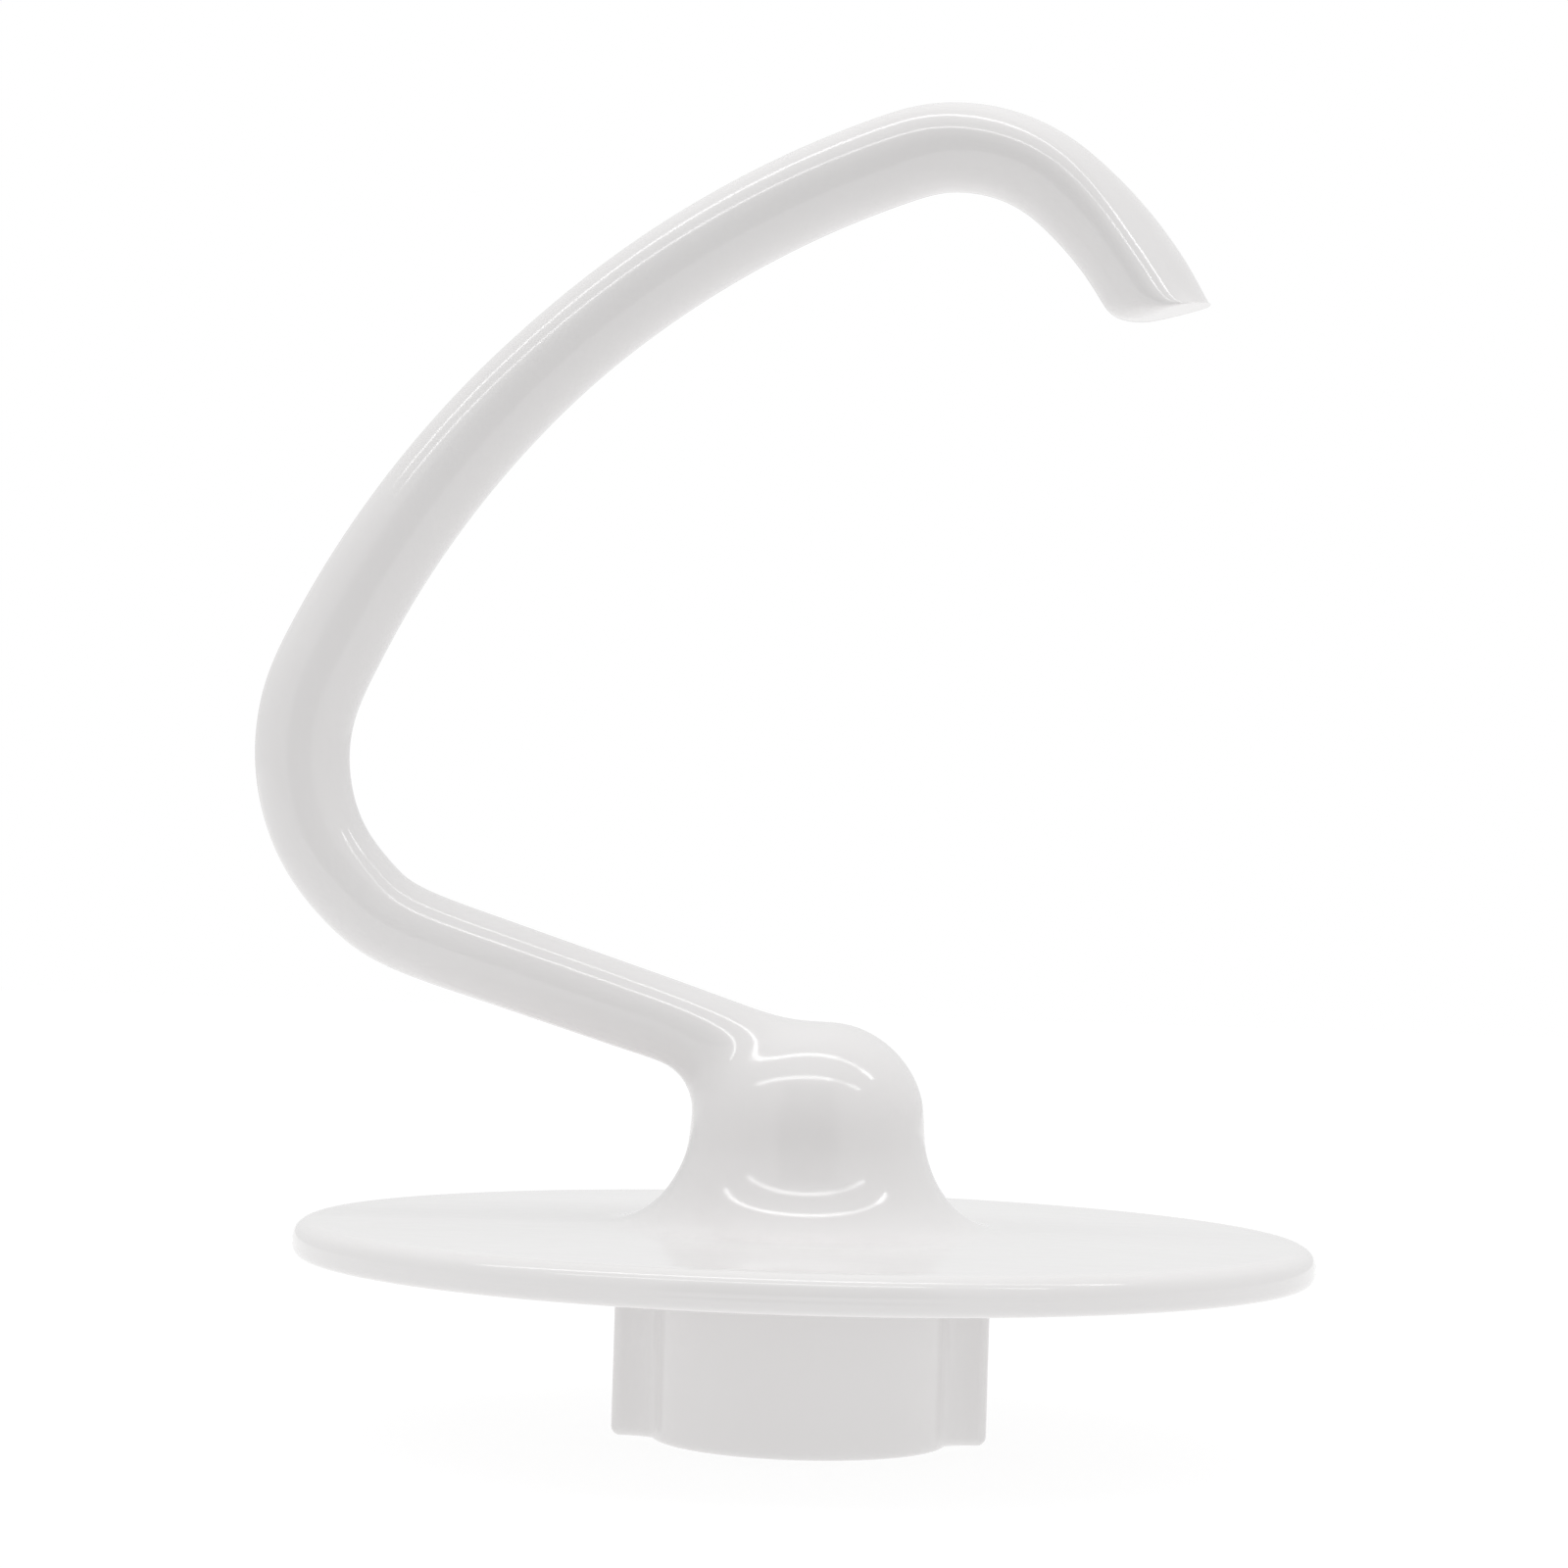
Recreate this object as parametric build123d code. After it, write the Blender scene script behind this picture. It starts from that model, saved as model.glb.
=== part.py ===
from build123d import *
import math
import os

# Stand mixer dough hook, one aluminium casting with a white coat.
# It stands on its hub, upside down from how it hangs in the mixer.
# +Z runs up the drive shaft's axis, the origin is the centre of the socket's mouth,
# and the hook lies in the XZ plane with its arm leaving the boss toward -X.

# Socket for the drive shaft
shaft_diameter = 12.7
shaft_clearance = 0.15
socket_depth = 34.0

# L-shaped slot that hooks over the shaft's cross pin, in the back of the hub
pin_diameter = 4.8
pin_clearance = 0.2
pin_height = 9.0
pin_angle = 38.0

# Hub collar under the disc, with an ear on each side in the hook's plane
collar_radius = 16.3
collar_height = 19.2
collar_edge_radius = 0.8
collar_root_radius = 2.0
ear_span = 40.4
ear_thickness = 7.0
ear_lift = 0.3
ear_corner_radius = 1.3
ear_edge_radius = 1.0

# Disc that keeps the dough from climbing the shaft, its top a very flat cone
disc_radius = 55.0
rim_height = 3.9
rim_lower_radius = 1.7
rim_upper_radius = 1.8
disc_slope_angle = 0.4

# Domed boss on the disc, flaring into it
boss_radius = 12.65
boss_root_width = 9.2
boss_root_height = 11.1
dome_height = 11.0

# Arm: a straight run out of the dome, then four arcs, each tangent to the one before
arm_drop = 5.3
arm_rise_angle = 17.44
run_length = 43.3
bend_radius = 21.0
bend_angle = 96.4
sweep_radius = 108.5
sweep_angle = 46.0
crown_radius = 17.7
crown_angle = 57.6
nose_radius = 40.0
nose_angle = 21.0
blend_radius = 5.5

# Section of the arm: its depth front to back, and its width at the end of each stretch
arm_depth = 10.4
root_width = 8.7
elbow_width = 9.3
bend_width = 10.5
sweep_mid_width = 9.4
sweep_width = 9.8
crown_width = 9.9
nose_width = 10.6

# End of the nose: flat, rounded over on the inner side
tip_round_radius = 3.5
tip_edge_radius = 0.6
tip_slant_angle = 15.0

# Half way from oval to wedge the outer side would fall in, so it is filled out by this share
outer_fill_ratio = 0.3

# Levels and radii that follow from the sizes above
slope = math.radians(disc_slope_angle)
socket_radius = shaft_diameter / 2 + shaft_clearance
slot_width = pin_diameter + 2 * pin_clearance
rim_top_z = collar_height + rim_height
boss_foot_radius = boss_radius + boss_root_width
boss_foot_z = rim_top_z + (disc_radius - boss_foot_radius) * math.tan(slope)
boss_waist_z = boss_foot_z + boss_root_height
dome_top_z = boss_waist_z + dome_height
arm_root_z = dome_top_z - arm_drop

# Hub, disc and boss turn about one axis, so one outline is revolved for all three
with BuildSketch(Plane.XZ) as turned_outline:
    with BuildLine():
        FilletPolyline(
            (0, 0),
            (collar_radius, 0),
            (collar_radius, collar_height),
            (disc_radius, collar_height),
            (disc_radius, rim_top_z),
            (boss_foot_radius, boss_foot_z),
            radius=(collar_edge_radius, collar_root_radius, rim_lower_radius, rim_upper_radius),
        )
        EllipticalCenterArc(
            (boss_foot_radius, boss_waist_z),
            boss_root_width,
            boss_root_height,
            180,
            arc_size=90,
        )
        CenterArc((boss_radius - dome_height, boss_waist_z), dome_height, 0, 90)
        Polyline((boss_radius - dome_height, dome_top_z), (0, dome_top_z), (0, 0))
    make_face()
turned = revolve(turned_outline.sketch, Axis.Z)

# Both ears are the ends of one slab through the collar, up to the disc
with BuildSketch(Plane.XZ) as ear_outline:
    with Locations((0, ear_lift)):
        Rectangle(ear_span, rim_top_z - ear_lift, align=(Align.CENTER, Align.MIN))
    lower_corners = ear_outline.vertices().group_by(Axis.Y)[0]
    fillet(lower_corners, ear_corner_radius)
ears = extrude(ear_outline.sketch, ear_thickness / 2, both=True)
ears = fillet(ears.edges().filter_by(Axis.Z), ear_edge_radius)
hub = turned + ears

# The arm's centreline
heading = math.radians(180 - arm_rise_angle)
run_end = (run_length * math.cos(heading), arm_root_z + run_length * math.sin(heading))
with BuildLine(Plane.XZ) as centreline:
    run = Line((0, arm_root_z), run_end)
    bend = JernArc(run @ 1, run % 1, bend_radius, -bend_angle)
    long_sweep = JernArc(bend @ 1, bend % 1, sweep_radius, -sweep_angle)
    crown = JernArc(long_sweep @ 1, long_sweep % 1, crown_radius, -crown_angle)
    nose = JernArc(crown @ 1, crown % 1, nose_radius, -nose_angle)

# The section's outline in shares of its half width and half depth. The first number points to
# the outer side of the hook, the second to its front. The oval turns into a wedge with a ridge
# in front and a flat outer side, which scrapes the bowl.
oval_shape = [
    (math.cos(turn * math.pi / 4), math.sin(turn * math.pi / 4))
    for turn in range(8)
]
wedge_shape = [
    (0.72, 0.05),
    (0.27, 0.93),
    (-0.28, 0.93),
    (-0.80, 0.56),
    (-1.00, -0.08),
    (-0.72, -0.77),
    (0.10, -1.00),
    (0.97, -0.88),
]


def square_to(curve, place):
    """Plane across the arm, x to the hook's outer side and y to its front."""
    along = curve % place
    return Plane(origin=curve @ place, x_dir=(-along.Z, 0, along.X), z_dir=along)


def section(plane, width, wedge=0.0, inner_trim=0.0, face_trim=0.0):
    """Closed outline of the arm; inner_trim and face_trim draw it in at the nose's end."""
    half_depth = arm_depth / 2 - face_trim
    kept = (width - inner_trim) / width
    fill = 1 + outer_fill_ratio * wedge * (1 - wedge)
    points = []
    for (oval_u, oval_w), (wedge_u, wedge_w) in zip(oval_shape, wedge_shape):
        u = oval_u + (wedge_u - oval_u) * wedge
        w = oval_w + (wedge_w - oval_w) * wedge
        if u > 0:
            u *= fill
        points.append((width / 2 * (1 - (1 - u) * kept), half_depth * w))
    with BuildSketch(plane) as outline:
        with BuildLine():
            Spline(*points, periodic=True)
        make_face()
    return outline.sketch.face()


def stretch(curve, *sections):
    return sweep(sections=sections, path=curve, multisection=True)


root = section(square_to(run, 0), root_width)
elbow = section(square_to(run, 1), elbow_width)
bend_end = section(square_to(bend, 1), bend_width)
sweep_mid = section(square_to(long_sweep, 0.5), sweep_mid_width)
sweep_end = section(square_to(long_sweep, 1), sweep_width)
crown_end = section(square_to(crown, 1), crown_width, wedge=0.5)
nose_end = section(square_to(nose, 1), nose_width, wedge=1.0)

# The nose's end is a short loft that follows a quarter circle on its inner side
tip_plane = square_to(nose, 1)
tip_sections = [nose_end]
for angle in (30, 60, 90):
    reach = math.sin(math.radians(angle))
    inset = 1 - math.cos(math.radians(angle))
    tip_sections.append(
        section(
            tip_plane.offset(tip_round_radius * reach).rotated((0, tip_slant_angle * reach, 0)),
            nose_width,
            wedge=1.0,
            inner_trim=tip_round_radius * inset,
            face_trim=tip_edge_radius * inset,
        )
    )

arm = stretch(run, root, elbow)
arm += stretch(bend, elbow, bend_end)
arm += stretch(long_sweep, bend_end, sweep_mid, sweep_end)
arm += stretch(crown, sweep_end, crown_end)
arm += stretch(nose, crown_end, nose_end)
arm += loft(tip_sections)

# The arm runs out of the dome through a hollow blend
hook = hub + arm
dome_seam = new_edges(hub, arm, combined=hook)
hook = fillet(dome_seam, blend_radius)

# Blind socket up the axis
hook -= Cylinder(socket_radius, socket_depth, align=(Align.CENTER, Align.CENTER, Align.MIN))

# The pin slides up a straight slot in the back of the collar, then turns into a side pocket
slot_reach = collar_radius + slot_width
entry = Box(slot_width, slot_reach, pin_height, align=(Align.CENTER, Align.MIN, Align.MIN))
pin_track = Plane.XZ.offset(-slot_reach) * Pos(0, pin_height) * Circle(slot_width / 2)
pin_bore = extrude(pin_track, slot_reach)
track_wall = Plane.YZ * Pos(slot_reach / 2, pin_height) * Rectangle(slot_reach, slot_width)
pocket = revolve(track_wall, Axis.Z, revolution_arc=pin_angle)
hook -= entry + pin_bore + pocket + Rot(0, 0, pin_angle) * pin_bore

os.makedirs("parts", exist_ok=True)
export_step(hook, "parts/dough_hook.step")
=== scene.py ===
import math

import bmesh
import bpy
import numpy as np
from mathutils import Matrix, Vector


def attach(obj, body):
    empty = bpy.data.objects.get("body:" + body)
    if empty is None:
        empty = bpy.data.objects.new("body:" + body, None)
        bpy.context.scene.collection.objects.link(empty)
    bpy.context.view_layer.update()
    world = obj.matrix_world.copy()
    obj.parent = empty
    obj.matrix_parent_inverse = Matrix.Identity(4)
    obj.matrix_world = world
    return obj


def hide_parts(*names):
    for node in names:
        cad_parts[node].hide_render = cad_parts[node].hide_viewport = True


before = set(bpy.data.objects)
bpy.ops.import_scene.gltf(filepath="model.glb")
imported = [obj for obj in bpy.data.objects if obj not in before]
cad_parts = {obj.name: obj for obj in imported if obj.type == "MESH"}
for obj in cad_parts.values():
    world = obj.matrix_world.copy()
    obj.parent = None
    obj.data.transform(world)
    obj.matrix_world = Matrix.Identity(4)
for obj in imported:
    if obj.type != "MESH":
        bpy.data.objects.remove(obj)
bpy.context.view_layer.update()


# The casting: hub collar, dough guard, boss and arm are poured as one piece of aluminium.
# It is one skin over rings, laid round the drive axis up to the dome and from there round
# the arm to the nose, so that light runs over it without a seam. Sizes are in millimetres.

mm = 0.001

# Each ring: its centre in the hook's plane, the way to the hook's outer side times half
# its width, half its depth, and how far its outline has turned from oval to wedge.
rings = []


def lay_ring(centre, outer, half_width, half_depth, wedge_share=0.0):
    rings.append((*centre, outer[0] * half_width, outer[1] * half_width, half_depth, wedge_share))


def lay_turned_ring(radius, height):
    lay_ring((0, height), (-1, 0), radius, radius)


def on_arc(centre, half_width, half_height, degrees):
    turn = math.radians(degrees)
    return centre[0] + half_width * math.cos(turn), centre[1] + half_height * math.sin(turn)


# The collar, from the middle of its lower face out and up. The rings before and after a
# corner set how round it comes out.
collar_radius = 16.3
collar_height = 19.2
collar_foot_round = 1.4
collar_root_round = 3.5
for radius in (2.0, 5.0, 10.0, collar_radius - collar_foot_round, collar_radius):
    lay_turned_ring(radius, 0.0)
for height in (collar_foot_round, 8.0, collar_height - collar_root_round, collar_height):
    lay_turned_ring(collar_radius, height)
for radius in (collar_radius + collar_root_round, 26.0, 34.0):
    lay_turned_ring(radius, collar_height)
first_exact_ring = len(rings)

# The guard: a flat underside, a rim rounded above and below, and a top that rises very
# slightly to the boss, which flares out of it in a quarter of an ellipse.
guard_radius = 54.975
guard_rim_top = 23.1
rim_lower_radius = 1.1
rim_middle_height = 20.75
rim_upper_height = 1.8
rim_upper_width = 2.4
boss_radius = 12.65
boss_root_width = 9.2
boss_root_height = 11.1
boss_foot_height = 23.33
boss_foot_radius = boss_radius + boss_root_width
boss_waist_height = boss_foot_height + boss_root_height
for radius in (42.0, 48.5, 52.0, 53.5):
    lay_turned_ring(radius, collar_height)
lower_edge = (guard_radius - rim_lower_radius, collar_height + rim_lower_radius)
for degrees in (-90, -60, -30, 0):
    lay_turned_ring(*on_arc(lower_edge, rim_lower_radius, rim_lower_radius, degrees))
lay_turned_ring(guard_radius, rim_middle_height)
upper_edge = (guard_radius - rim_upper_width, guard_rim_top - rim_upper_height)
for degrees in (0, 30, 60, 90):
    lay_turned_ring(*on_arc(upper_edge, rim_upper_width, rim_upper_height, degrees))
for radius in (50.5, 47.0, 41.0, 34.0, 27.5):
    rise = (guard_radius - radius) / (guard_radius - boss_foot_radius)
    lay_turned_ring(radius, guard_rim_top + (boss_foot_height - guard_rim_top) * rise)
flare_centre = (boss_foot_radius, boss_waist_height)
for degrees in (270, 247.5, 225, 204):
    lay_turned_ring(*on_arc(flare_centre, boss_root_width, boss_root_height, degrees))

# In the dome the rings fan out from the hollow under the arm, and shrink from the boss's
# circle to the arm's oval: point in the hollow, point over the dome, half depth.
dome_radius = 11.0
dome_centre = (boss_radius - dome_radius, boss_waist_height)
hollow_radius = 5.5
hollow_centre = (-18.12, 35.37)


def in_hollow(degrees):
    return on_arc(hollow_centre, hollow_radius, hollow_radius, degrees)


def over_dome(degrees):
    return on_arc(dome_centre, dome_radius, dome_radius, degrees)


dome_rings = (
    ((-12.85, 32.3), (12.7, 33.3), 12.72),
    ((-12.66, 34.2), over_dome(14), 12.5),
    (in_hollow(0), over_dome(35), 11.9),
    (in_hollow(9), over_dome(56), 10.8),
    (in_hollow(18), over_dome(77), 9.35),
    (in_hollow(28), (0.1, 45.45), 7.85),
    (in_hollow(39), (-4.0, 46.0), 6.6),
    (in_hollow(52), (-8.9, 47.5), 5.8),
)
for under_arm, over_arm, half_depth in dome_rings:
    across = Vector(under_arm) - Vector(over_arm)
    middle = (Vector(under_arm) + Vector(over_arm)) / 2
    lay_ring(middle, across.normalized(), across.length / 2, half_depth)

# The arm's centreline is a straight run and four arcs, each tangent to the one before. A
# mark on it counts in legs: bend + 0.5 is half way round the bend.
run, bend, sweep, crown, nose = range(5)
arm_root_height = 40.12
arm_rise = 17.44
run_length = 43.3
arc_radii = {bend: 21.0, sweep: 108.5, crown: 17.7, nose: 40.0}
arc_degrees = {bend: 96.4, sweep: 46.0, crown: 57.6, nose: 21.0}
arm_depth = 10.4
arm_widths = {
    run: 8.7,
    bend: 9.3,
    sweep: 10.5,
    sweep + 0.5: 9.4,
    crown: 9.7,
    nose: 9.8,
    nose + 1.0: 10.6,
}
outer_fill = 0.12


def lay_arm_ring(mark, wedge_share=0.0, ahead=0.0, slant=0.0, inner_trim=0.0, face_trim=0.0):
    """A ring across the arm at a mark, or ahead of it, slanted and trimmed, at the nose's end."""
    heading = math.radians(180 - arm_rise)
    along = Vector((math.cos(heading), math.sin(heading)))
    centre = Vector((0.0, arm_root_height)) + along * run_length * min(mark, 1.0)
    for leg, radius in arc_radii.items():
        if mark <= leg:
            break
        pivot = centre + radius * Vector((math.sin(heading), -math.cos(heading)))
        heading -= math.radians(arc_degrees[leg]) * min(mark - leg, 1.0)
        centre = pivot + radius * Vector((-math.sin(heading), math.cos(heading)))
    along = Vector((math.cos(heading), math.sin(heading)))
    lean = math.radians(slant)
    outer = Vector((-along.y, along.x)) * math.cos(lean) + along * math.sin(lean)
    width = np.interp(mark, list(arm_widths.keys()), list(arm_widths.values()))
    fill = width / 2 * outer_fill * wedge_share * (1 - wedge_share)
    centre += along * ahead + outer * (inner_trim + fill) / 2
    half_width = (width + fill - inner_trim) / 2
    lay_ring(centre, outer, half_width, arm_depth / 2 - face_trim, wedge_share)


def even_marks(leg, count):
    return [leg + (i + 0.5) / count for i in range(count)]


# Where it leaves the dome the arm is still a little deeper. From the crown on it turns from
# oval to wedge.
wedge_after_crown = 0.6
wedge_gain_in_nose = 0.7
lay_arm_ring(run + 0.37, face_trim=-0.2)
lay_arm_ring(run + 0.47, face_trim=-0.05)
for mark in (run + 0.59, run + 0.72, run + 0.86):
    lay_arm_ring(mark)
for mark in even_marks(bend, 6) + even_marks(sweep, 14):
    lay_arm_ring(mark)
for mark in even_marks(crown, 4):
    lay_arm_ring(mark, wedge_after_crown * (mark - crown))
for mark in even_marks(nose, 4):
    lay_arm_ring(mark, min(wedge_after_crown + wedge_gain_in_nose * (mark - nose), 1.0))
last_exact_ring = len(rings)

# The nose ends flat and a little slanted, rounded over on its inner side.
tip_length = 3.5
tip_slant = 15.0
lay_arm_ring(nose + 1.0, 1.0)
lay_arm_ring(nose + 1.0, 1.0, ahead=2.2, slant=9.0, inner_trim=0.6)
for inner_trim, face_trim in ((2.6, 0.3), (4.4, 1.4), (7.0, 3.0)):
    lay_arm_ring(nose + 1.0, 1.0, tip_length, tip_slant, inner_trim, face_trim)

# A smoothed skin runs inside its rings: at a ring it takes four sixths of it and a sixth
# of each neighbour. Solved backwards, that gives the rings whose skin has the sizes above.
rings = np.array(rings)
exact_rings = rings[first_exact_ring:last_exact_ring]
pull_along = np.eye(len(exact_rings))
for row in range(1, len(exact_rings) - 1):
    pull_along[row, row - 1:row + 2] = (1 / 6, 4 / 6, 1 / 6)
rings[first_exact_ring:last_exact_ring] = np.linalg.solve(pull_along, exact_rings)

# Outline of a ring in shares of its half width and half depth, outer side and front first.
# The wedge has a rounded ridge in front and a flat outer side that scrapes the bowl. The third
# number of a corner says how full the side after it is: 0 is flat, 1 a smooth curve.
ring_points = 16
turns = np.arange(ring_points) * 2 * math.pi / ring_points
oval = np.stack([np.cos(turns), np.sin(turns)], axis=1)
wedge_corners = np.array((
    (0.80, 0.06, 0.2),
    (0.13, 0.80, 1.0),
    (-0.41, 0.97, 1.0),
    (-0.87, 0.50, 1.0),
    (-1.00, -0.08, 1.0),
    (-0.72, -0.77, 1.0),
    (0.10, -1.00, 1.0),
    (0.97, -0.88, 1.0),
))
corners = wedge_corners[:, 0:2]
fullness = wedge_corners[:, 2:3]
near = corners + np.roll(corners, -1, axis=0)
far = np.roll(corners, 1, axis=0) + np.roll(corners, -2, axis=0)
wedge = np.empty_like(oval)
wedge[0::2] = corners
wedge[1::2] = near / 2 + fullness * (near - far) / 16
own_share = np.eye(ring_points)
pull_round = own_share * 4 / 6
pull_round += (np.roll(own_share, 1, axis=0) + np.roll(own_share, -1, axis=0)) / 6
oval = np.linalg.solve(pull_round, oval)
wedge = np.linalg.solve(pull_round, wedge)


def put_in_scene(name, data):
    made = bpy.data.objects.new(name, data)
    bpy.context.scene.collection.objects.link(made)
    return made


def flat_vectors(pairs, upright):
    """Pairs of numbers as vectors, in the hook's plane or in the plane of an outline."""
    first, second = np.transpose(pairs)
    none = np.zeros(len(first))
    return np.stack([first, none, second] if upright else [first, second, none], axis=1)


def chain(name, count, closed, **columns):
    """Points joined in a row, which carry their columns of numbers as attributes."""
    mesh = bpy.data.meshes.new(name)
    edges = [(i, i + 1) for i in range(count - 1)] + [(count - 1, 0)] * closed
    mesh.from_pydata([(0, 0, i * mm) for i in range(count)], edges, [])
    for key, values in columns.items():
        kind, field = ("FLOAT", "value") if np.ndim(values) == 1 else ("FLOAT_VECTOR", "vector")
        column = mesh.attributes.new(key, kind, "POINT")
        column.data.foreach_set(field, np.ravel(values).astype(np.float32))
    return put_in_scene(name, mesh)


ring_chain = chain(
    "casting_rings",
    len(rings),
    False,
    centre=flat_vectors(rings[:, 0:2], True) * mm,
    outer=flat_vectors(rings[:, 2:4], True) * mm,
    half_depth=rings[:, 4] * mm,
    wedge_share=rings[:, 5],
)
outline_chain = chain(
    "ring_outline",
    ring_points,
    True,
    oval=flat_vectors(oval, False),
    wedge=flat_vectors(wedge, False),
)


class Wire:
    """The wire out of a node, so that the maths of a node tree reads as plain expressions."""

    def __init__(self, tree, socket):
        self.tree = tree
        self.socket = socket

    def node(self, kind, settings=None, inputs=None, output=0):
        made = self.tree.nodes.new(kind)
        for name, value in (settings or {}).items():
            setattr(made, name, value)
        for name, value in (inputs or {}).items():
            if isinstance(value, Wire):
                self.tree.links.new(value.socket, made.inputs[name])
            else:
                made.inputs[name].default_value = value
        return Wire(self.tree, made.outputs[output])

    def feed(self, socket):
        self.tree.links.new(self.socket, socket)

    def math(self, operation, *values):
        return self.node("ShaderNodeMath", {"operation": operation}, dict(enumerate(values)))

    def __add__(self, other):
        return self.math("ADD", self, other)

    __radd__ = __add__

    def __sub__(self, other):
        return self.math("SUBTRACT", self, other)

    def __rsub__(self, other):
        return self.math("SUBTRACT", other, self)

    def __mul__(self, other):
        return self.math("MULTIPLY", self, other)

    __rmul__ = __mul__

    def __truediv__(self, other):
        return self.math("DIVIDE", self, other)

    def __rtruediv__(self, other):
        return self.math("DIVIDE", other, self)


# Geometry Nodes put an outline on every ring, join the outlines up and smooth the skin. It
# takes the coat, which gets its looks further down, where it goes on.
smoothing_steps = 3
white_coat = bpy.data.materials.new("white_coat")
skin_tree = bpy.data.node_groups.new("skin_over_rings", "GeometryNodeTree")
sockets = skin_tree.interface
sockets.new_socket("Geometry", in_out="INPUT", socket_type="NodeSocketGeometry")
outline_socket = sockets.new_socket("Outline", in_out="INPUT", socket_type="NodeSocketObject")
smooth_socket = sockets.new_socket("Smoothing", in_out="INPUT", socket_type="NodeSocketInt")
coat_socket = sockets.new_socket("Coat", in_out="INPUT", socket_type="NodeSocketMaterial")
sockets.new_socket("Geometry", in_out="OUTPUT", socket_type="NodeSocketGeometry")
given = skin_tree.nodes.new("NodeGroupInput")
ring_row, given_outline, given_smoothing, given_coat = [
    Wire(skin_tree, given.outputs[name]) for name in ("Geometry", "Outline", "Smoothing", "Coat")
]


def ring_value(key, kind="FLOAT_VECTOR"):
    return ring_row.node("GeometryNodeInputNamedAttribute", {"data_type": kind}, {"Name": key})


def vector_sum(one, other):
    return one.node("ShaderNodeVectorMath", {"operation": "ADD"}, {0: one, 1: other})


outline = ring_row.node("GeometryNodeObjectInfo", {}, {"Object": given_outline}, output="Geometry")
skin = ring_row.node(
    "GeometryNodeCurveToMesh",
    {},
    {
        "Curve": ring_row.node("GeometryNodeMeshToCurve", {}, {"Mesh": ring_row}),
        "Profile Curve": ring_row.node("GeometryNodeMeshToCurve", {}, {"Mesh": outline}),
        "Fill Caps": True,
    },
)
shape = ring_row.node(
    "ShaderNodeMix",
    {"data_type": "VECTOR"},
    {0: ring_value("wedge_share", "FLOAT"), 4: ring_value("oval"), 5: ring_value("wedge")},
    output=1,
)
to_outer_side = ring_row.node("ShaderNodeSeparateXYZ", {}, {0: shape}, output="X")
to_front = ring_row.node("ShaderNodeSeparateXYZ", {}, {0: shape}, output="Y")
beside = ring_row.node(
    "ShaderNodeVectorMath", {"operation": "SCALE"}, {0: ring_value("outer"), "Scale": to_outer_side}
)
before = ring_row.node(
    "ShaderNodeCombineXYZ", {}, {"Y": to_front * ring_value("half_depth", "FLOAT") * -1.0}
)
spot = vector_sum(vector_sum(beside, before), ring_value("centre"))
skin = ring_row.node("GeometryNodeSetPosition", {}, {"Geometry": skin, "Position": spot})
skin = ring_row.node("GeometryNodeSubdivisionSurface", {}, {"Mesh": skin, "Level": given_smoothing})
for key in ("centre", "outer", "half_depth", "wedge_share", "oval", "wedge"):
    skin = ring_row.node("GeometryNodeRemoveAttribute", {}, {"Geometry": skin, "Name": key})
skin = ring_row.node("GeometryNodeRealizeInstances", {}, {"Geometry": skin})
skin = ring_row.node("GeometryNodeSetMaterial", {}, {"Geometry": skin, "Material": given_coat})
skin.feed(skin_tree.nodes.new("NodeGroupOutput").inputs["Geometry"])

skinning = ring_chain.modifiers.new("skin_over_rings", "NODES")
skinning.node_group = skin_tree
skinning[outline_socket.identifier] = outline_chain
skinning[smooth_socket.identifier] = smoothing_steps
skinning[coat_socket.identifier] = white_coat


def finished_mesh(thing, name):
    """The object's mesh with its modifiers worked in. The object itself is cleared away."""
    bpy.context.view_layer.update()
    worked = thing.evaluated_get(bpy.context.evaluated_depsgraph_get())
    mesh = bpy.data.meshes.new_from_object(worked)
    mesh.name = name
    bpy.data.objects.remove(thing)
    return mesh


casting = put_in_scene("casting", finished_mesh(ring_chain, "casting"))
bpy.data.objects.remove(outline_chain)


# Two ears stand out from the collar in the hook's plane. They are cast in one with it, with
# hollow roots and rounded edges, and are coated with the rest.
ear_reach = 20.2
ear_half_thickness = 3.5
ear_foot = 0.3
ear_top = 21.0
ear_edge_radius = 1.0
ear_edge_steps = 4
ear_root_radius = 4.4
inside_collar = 12.0
root_to_axis = collar_radius + ear_root_radius
ear_root_y = ear_half_thickness + ear_root_radius
ear_root_x = math.sqrt(root_to_axis**2 - ear_root_y**2)
ear_root_turn = math.degrees(math.asin(ear_root_y / root_to_axis))
ear_root = (ear_root_x, ear_root_y)
ear_corner = (ear_reach - ear_edge_radius, ear_half_thickness - ear_edge_radius)
ear_flank = []
for degrees in np.linspace(180 + ear_root_turn, 270, 9):
    ear_flank.append(on_arc(ear_root, ear_root_radius, ear_root_radius, degrees))
for degrees in (90, 67.5, 45, 22.5, 0):
    ear_flank.append(on_arc(ear_corner, ear_edge_radius, ear_edge_radius, degrees))
ear_flank.insert(0, (inside_collar, ear_flank[0][1]))
ear_outline = ear_flank + [(x, -y) for x, y in reversed(ear_flank)]


def object_from(solid, name, finish):
    mesh = bpy.data.meshes.new(name)
    solid.to_mesh(mesh)
    solid.free()
    mesh.materials.append(finish)
    return put_in_scene(name, mesh)


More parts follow.
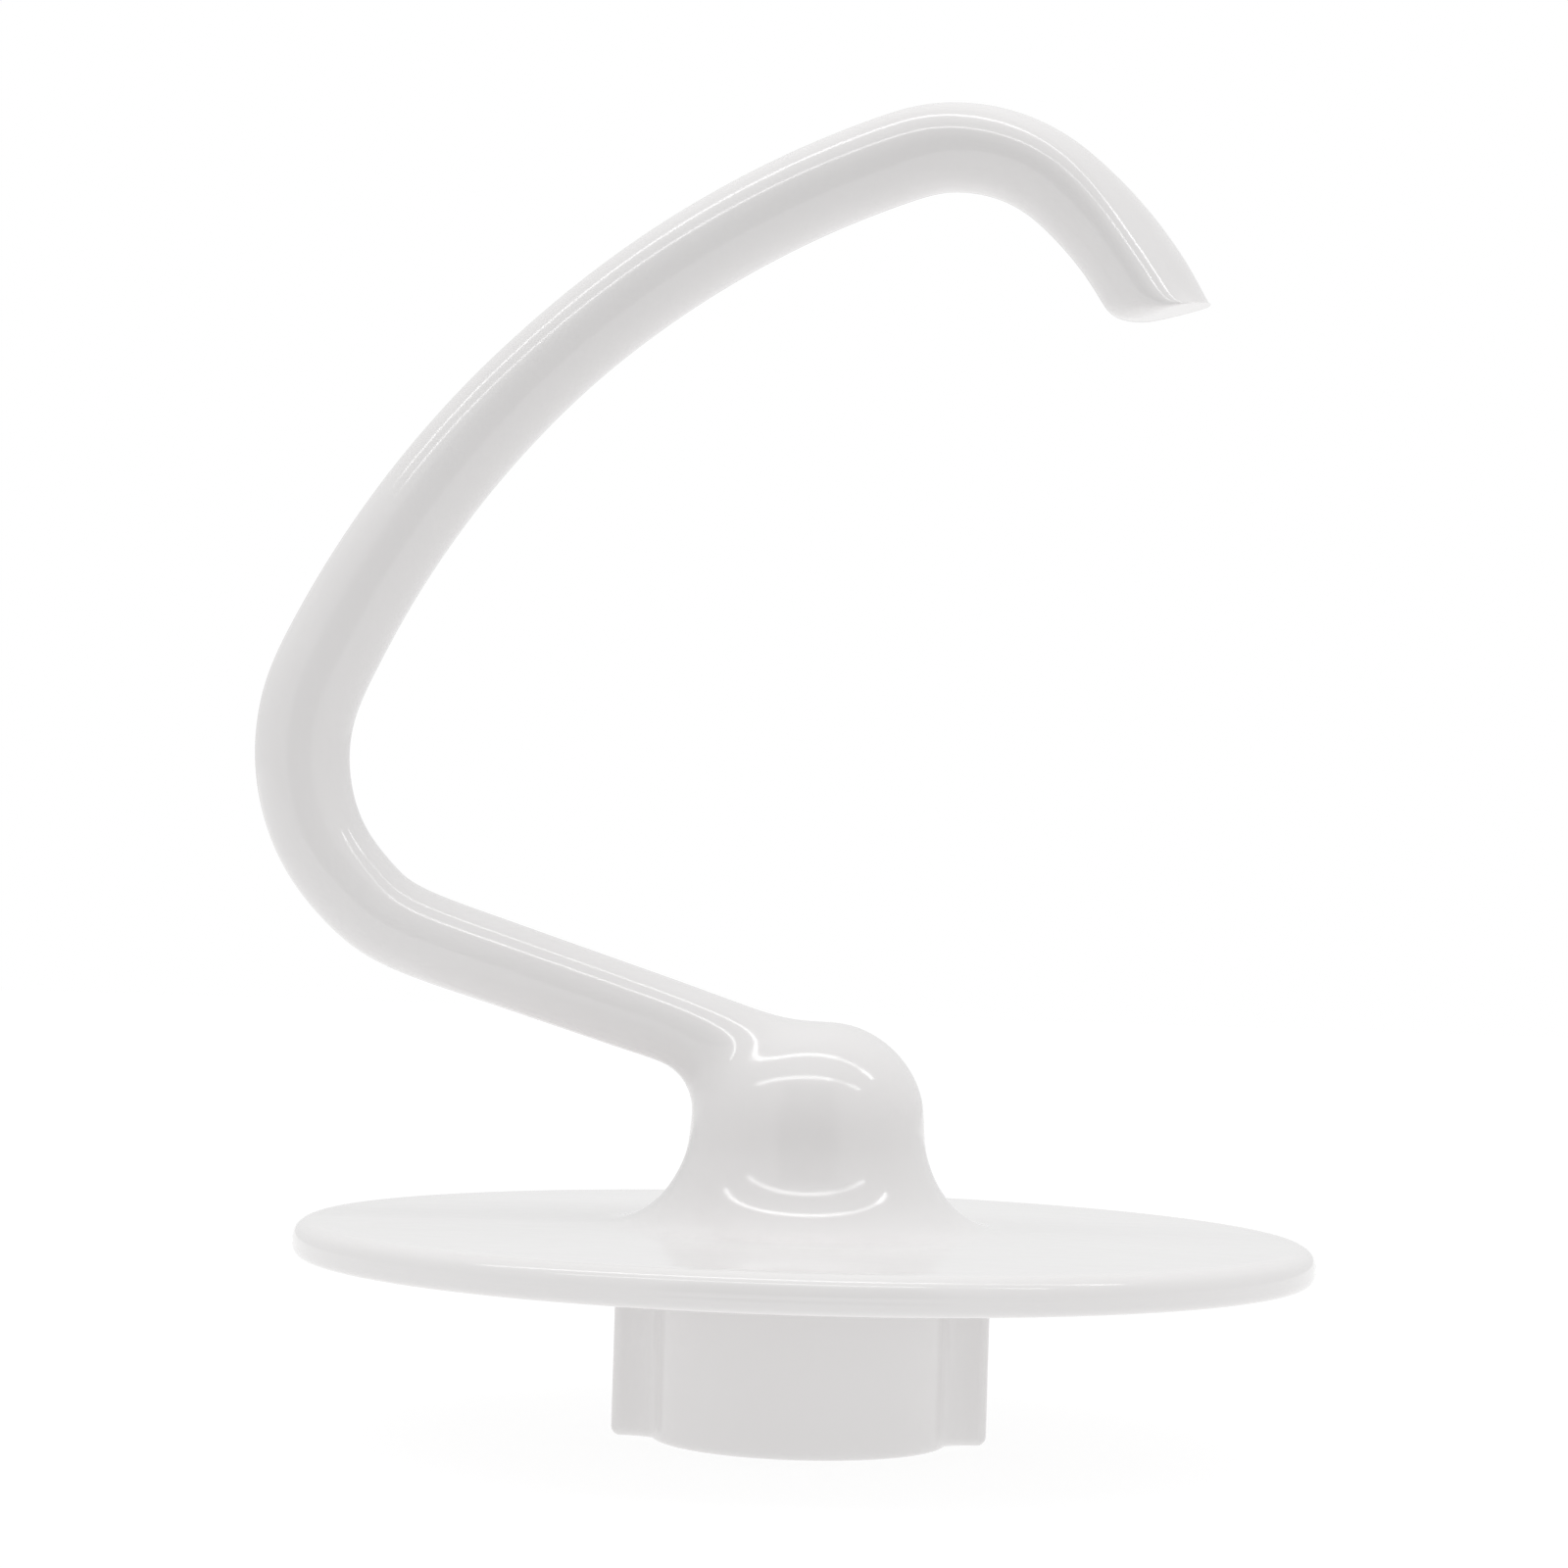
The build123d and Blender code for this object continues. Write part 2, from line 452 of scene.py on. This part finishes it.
ear_solid = bmesh.new()
for side in (1, -1):
    top = [ear_solid.verts.new((side * x * mm, y * mm, ear_top * mm)) for x, y in ear_outline]
    top_face = ear_solid.faces.new(top)
    pulled = bmesh.ops.extrude_face_region(ear_solid, geom=[top_face])["geom"]
    foot = [part for part in pulled if isinstance(part, bmesh.types.BMVert)]
    bmesh.ops.translate(ear_solid, vec=(0, 0, (ear_foot - ear_top) * mm), verts=foot)
bmesh.ops.recalc_face_normals(ear_solid, faces=ear_solid.faces)
half_way_up = (ear_foot + ear_top) / 2 * mm
bmesh.ops.bevel(
    ear_solid,
    geom=[edge for edge in ear_solid.edges if all(v.co.z < half_way_up for v in edge.verts)],
    offset=ear_edge_radius * mm,
    segments=ear_edge_steps,
    profile=0.5,
    affect="EDGES",
)
ears = object_from(ear_solid, "ears", white_coat)


# The socket for the drive shaft is bored after casting and plugged while the coat goes on,
# so it stays bare turned metal.


def place_on_piece(tree):
    return Wire(tree, tree.nodes.new("ShaderNodeTexCoord").outputs["Object"])


def noise(place, scale, detail):
    return place.node("ShaderNodeTexNoise", {}, {"Vector": place, "Scale": scale, "Detail": detail})


def colour_between(share, one, other):
    return share.node("ShaderNodeMix", {"data_type": "RGBA"}, {0: share, 6: one, 7: other}, output=2)


def bumps(height, strength, distance):
    sizes = {"Strength": strength, "Distance": distance, "Height": height}
    return height.node("ShaderNodeBump", {}, sizes)


metal_dark = (0.55, 0.55, 0.56, 1.0)
metal_light = (0.72, 0.72, 0.73, 1.0)
metal_roughness = 0.25
metal_haze = 0.2
groove_fineness = 25000.0
groove_wander = 4.0
bare_metal = bpy.data.materials.new("bare_turned_aluminium")
bare_metal.use_nodes = True
metal = bare_metal.node_tree.nodes["Principled BSDF"]
on_metal = place_on_piece(bare_metal.node_tree)
chatter = noise(on_metal, scale=300.0, detail=2.0)
up_bore = on_metal.node("ShaderNodeSeparateXYZ", {}, {0: on_metal}, output="Z")
groove_turn = up_bore * groove_fineness + chatter * groove_wander
groove = groove_turn.math("SINE", groove_turn)
colour_between(chatter, metal_dark, metal_light).feed(metal.inputs["Base Color"])
(metal_roughness + metal_haze * chatter).feed(metal.inputs["Roughness"])
bumps(groove, strength=0.4, distance=0.00002).feed(metal.inputs["Normal"])
metal.inputs["Metallic"].default_value = 1.0

socket_radius = 6.5
socket_depth = 34.0
socket_sides = 100
past_the_face = 2.0
socket_solid = bmesh.new()
bmesh.ops.create_cone(
    socket_solid,
    cap_ends=True,
    segments=socket_sides,
    radius1=socket_radius * mm,
    radius2=socket_radius * mm,
    depth=(socket_depth + past_the_face) * mm,
)
socket_middle = (0, 0, (socket_depth - past_the_face) / 2 * mm)
bmesh.ops.translate(socket_solid, vec=socket_middle, verts=socket_solid.verts)
socket = object_from(socket_solid, "socket", bare_metal)


# The shaft's cross pin slides up a straight slot in the back of the collar, then turns
# into a side pocket. Both are cut through the wall and coated. Points of the outline: turn
# about the axis, offset from it, height.
slot_half = 2.6
pin_height = 9.0
pocket_degrees = 38.0
inside_socket = 0.8
outside_collar = 3.0
pin_centre = (0.0, pin_height)
slot_outline = [(0, slot_half, -past_the_face)]
for degrees in range(0, 91, 15):
    slot_outline.append((0, *on_arc(pin_centre, slot_half, slot_half, degrees)))
for share in (0.25, 0.5, 0.75):
    slot_outline.append((pocket_degrees * share, 0, pin_height + slot_half))
for degrees in range(90, 271, 15):
    slot_outline.append((pocket_degrees, *on_arc(pin_centre, slot_half, slot_half, degrees)))
slot_outline.append((pocket_degrees * 0.75, 0, pin_height - slot_half))
slot_outline.append((0, -slot_half, pin_height - slot_half))
slot_outline.append((0, -slot_half, -past_the_face))
slot_solid = bmesh.new()
loops = []
for reach in (socket_radius - inside_socket, collar_radius + outside_collar):
    loop = []
    for degrees, offset, height in slot_outline:
        turn = math.radians(degrees)
        out = Vector((-math.sin(turn), math.cos(turn), 0)) * reach
        aside = Vector((math.cos(turn), math.sin(turn), 0)) * offset
        loop.append(slot_solid.verts.new((out + aside + Vector((0, 0, height))) * mm))
    loops.append(loop)
    slot_solid.faces.new(loop)
inner_loop, outer_loop = loops
for i in range(len(slot_outline)):
    j = (i + 1) % len(slot_outline)
    slot_solid.faces.new((inner_loop[i], inner_loop[j], outer_loop[j], outer_loop[i]))
bmesh.ops.recalc_face_normals(slot_solid, faces=slot_solid.faces)
pin_slot = object_from(slot_solid, "pin_slot", white_coat)


# The ears are joined to the casting, and the socket and the slot are cut out of it. Slivers
# left along the cuts are closed up, and the edges of the cuts stay crisp.
for operand, operation in ((ears, "UNION"), (socket, "DIFFERENCE"), (pin_slot, "DIFFERENCE")):
    step = casting.modifiers.new(operand.name, "BOOLEAN")
    step.object = operand
    step.operation = operation
    step.solver = "EXACT"
    step.material_mode = "TRANSFER"
hook_mesh = finished_mesh(casting, "dough_hook_coated")
for operand in (ears, socket, pin_slot):
    bpy.data.objects.remove(operand)

sliver = 0.004
crisp_from_degrees = 35
hook_solid = bmesh.new()
hook_solid.from_mesh(hook_mesh)
bmesh.ops.remove_doubles(hook_solid, verts=hook_solid.verts, dist=sliver * mm)
bmesh.ops.dissolve_degenerate(hook_solid, edges=hook_solid.edges, dist=sliver * mm)
many_sided = [face for face in hook_solid.faces if len(face.verts) > 4]
bmesh.ops.triangulate(hook_solid, faces=many_sided)
bmesh.ops.dissolve_degenerate(hook_solid, edges=hook_solid.edges, dist=sliver * mm)
hook_solid.to_mesh(hook_mesh)
hook_solid.free()
hook_mesh.shade_smooth()
hook_mesh.set_sharp_from_angle(angle=math.radians(crisp_from_degrees))


# The coat: white nylon over the whole casting, sintered on thick, so that it flows out
# glossy. Its white is a little uneven, and it has a slight orange peel.
coat_shade = (0.825, 0.81, 0.807, 1.0)
coat_light = (0.85, 0.84, 0.838, 1.0)
coat_roughness = 0.06
coat_haze = 0.06
peel_share = 0.08
white_coat.use_nodes = True
coat = white_coat.node_tree.nodes["Principled BSDF"]
on_coat = place_on_piece(white_coat.node_tree)
cloud = noise(on_coat, scale=45.0, detail=3.0)
ripple = noise(on_coat, scale=320.0, detail=1.0)
peel = noise(on_coat, scale=1100.0, detail=1.0)
colour_between(cloud, coat_shade, coat_light).feed(coat.inputs["Base Color"])
(coat_roughness + coat_haze * cloud).feed(coat.inputs["Roughness"])
coat_relief = bumps(ripple + peel_share * peel, strength=0.2, distance=0.00004)
coat_relief.feed(coat.inputs["Normal"])
coat.inputs["IOR"].default_value = 1.5

hook = put_in_scene("dough_hook_coated", hook_mesh)
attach(hook, "root")
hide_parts("dough_hook")


# The light table that it stands on: a white sheet lit through from below, out of which
# only the soft shadow of the hub and guard shows. From here on sizes are in metres.
table_half = 2.0
table_front = -0.30
table_level = -0.00005
sheet_grey = (0.2, 0.2, 0.2, 1.0)
sheet_light = 0.78
more_where_seen = 0.06
table_corners = [
    (-table_half, table_front, table_level),
    (table_half, table_front, table_level),
    (table_half, table_half, table_level),
    (-table_half, table_half, table_level),
]
table_mesh = bpy.data.meshes.new("light_table")
table_mesh.from_pydata(table_corners, [], [(0, 1, 2, 3)])
light_table = put_in_scene("light_table", table_mesh)


def kinds_of_ray(tree):
    """Wires that are 1 on rays from the camera, off a gloss and through glass."""
    path = tree.nodes.new("ShaderNodeLightPath")
    kinds = ("Is Camera Ray", "Is Glossy Ray", "Is Transmission Ray")
    return [Wire(tree, path.outputs[kind]) for kind in kinds]


sheet = bpy.data.materials.new("lit_white_sheet")
sheet.use_nodes = True
sheet.cycles.emission_sampling = "NONE"
paper = sheet.node_tree.nodes["Principled BSDF"]
paper.inputs["Base Color"].default_value = sheet_grey
paper.inputs["Roughness"].default_value = 0.9
paper.inputs["Specular IOR Level"].default_value = 0.0
paper.inputs["Emission Strength"].default_value = 1.0
from_camera, off_gloss, through_glass = kinds_of_ray(sheet.node_tree)
sheet_seen = from_camera.math("MAXIMUM", off_gloss, through_glass)
sheet_seen = from_camera.math("MAXIMUM", from_camera, sheet_seen)
(sheet_light + more_where_seen * sheet_seen).feed(paper.inputs["Emission Color"])
table_mesh.materials.append(sheet)


# Round it a white tent, a little dimmer toward its opening, where the camera stands. The
# camera sees the tent plain white, and the gloss nearly white with a darker opening.
wall_light = 0.67
more_from_above = 0.56
less_in_front = 0.13
less_in_opening = 0.05
light_from_under = 0.34
white_in_gloss = 0.82
less_in_gloss = 0.62
front_edge = (0.3, 0.6)
opening_side_edge = (0.82, 0.92)
opening_top_edge = (0.7, 0.8)
table_edge = (-0.02, 0.02)
tent = bpy.data.worlds.new("white_tent")
bpy.context.scene.world = tent
tent.use_nodes = True
tent.cycles.sampling_method = "NONE"
background = tent.node_tree.nodes["Background"]
way = Wire(tent.node_tree, tent.node_tree.nodes.new("ShaderNodeTexCoord").outputs["Generated"])
to_camera = 0.0 - way.node("ShaderNodeSeparateXYZ", {}, {0: way}, output="Y")
upward = way.node("ShaderNodeSeparateXYZ", {}, {0: way}, output="Z")
level_squared = 1.0 - upward * upward
level = level_squared.math("SQRT", level_squared)


def soft_step(value, edge):
    return value.node(
        "ShaderNodeMapRange",
        {"interpolation_type": "SMOOTHSTEP"},
        {"Value": value, 1: edge[0], 2: edge[1], 3: 0.0, 4: 1.0},
    )


in_front = soft_step(to_camera, front_edge)
in_opening = soft_step(to_camera / level, opening_side_edge)
in_opening = in_opening * (1.0 - soft_step(upward, opening_top_edge))
over_table = soft_step(upward, table_edge)
lit = wall_light + more_from_above * upward * upward
lit = lit - less_in_front * in_front - less_in_opening * in_opening
lit = light_from_under + (lit - light_from_under) * over_table
in_gloss = white_in_gloss - less_in_gloss * in_opening
from_camera, off_gloss, through_glass = kinds_of_ray(tent.node_tree)
lit = lit + (in_gloss - lit) * off_gloss
tent_seen = way.math("MAXIMUM", from_camera, through_glass)
(lit + (1.0 - lit) * tent_seen).feed(background.inputs["Strength"])
background.inputs["Color"].default_value = (1.0, 1.0, 1.0, 1.0)


# Two tube lamps in the tent's roof, left to right: one over the hook, one nearer the camera.
# Most of what they give is the two thin lines along the gloss. Each has a gap on the right.
lamp_height = 0.345
lamp_width = 0.022
lamp_end = 0.36
gap_right = 0.24
aim_height = 0.06
over_hook = -0.012
over_hook_gap = 0.10
over_hook_light = 3.4
over_hook_shine = 15.0
in_front_of_hook = -0.2
in_front_gap = 0.13
in_front_light = 2.6
in_front_shine = 14.0
for name, from_axis, left, right, brightness, gloss_only in (
    ("lamp_over_hook", over_hook, -lamp_end, lamp_end, over_hook_light, False),
    ("lamp_in_front", in_front_of_hook, -lamp_end, lamp_end, in_front_light, False),
    ("shine_over_hook", over_hook, -lamp_end, over_hook_gap, over_hook_shine, True),
    ("shine_over_hook_end", over_hook, gap_right, lamp_end, over_hook_shine, True),
    ("shine_in_front", in_front_of_hook, -lamp_end, in_front_gap, in_front_shine, True),
    ("shine_in_front_end", in_front_of_hook, gap_right, lamp_end, in_front_shine, True),
):
    lamp = bpy.data.lights.new(name, "AREA")
    lamp.shape = "RECTANGLE"
    lamp.size = right - left
    lamp.size_y = lamp_width
    lamp.energy = brightness * math.pi * lamp.size * lamp_width
    lamp_tube = put_in_scene(name, lamp)
    lamp_tube.location = ((left + right) / 2, from_axis, lamp_height)
    toward = Vector((lamp_tube.location.x, 0.0, aim_height)) - lamp_tube.location
    lamp_tube.rotation_euler = toward.to_track_quat("-Z", "Y").to_euler()
    lamp_tube.visible_diffuse = not gloss_only


# The camera stands square to the hook's plane, level, a little above the guard, and hangs
# slightly out of true, so the hook leans to the right.
picture_width = 1600
camera_distance = 0.390
eye_height = 0.0551
camera_roll = -1.75
pixels_per_metre = 9410.0
eye_in_picture = (830.3, 951.0)
lens = bpy.data.cameras.new("camera")
lens.sensor_width = 36.0
lens.lens = lens.sensor_width * pixels_per_metre * camera_distance / picture_width
lens.shift_x = 0.5 - eye_in_picture[0] / picture_width
lens.shift_y = eye_in_picture[1] / picture_width - 0.5
camera = put_in_scene("camera", lens)
camera.location = (0.0, -camera_distance, eye_height)
camera.rotation_euler = (math.radians(90), math.radians(camera_roll), 0)
bpy.context.scene.camera = camera

bpy.context.scene.view_settings.view_transform = "Standard"
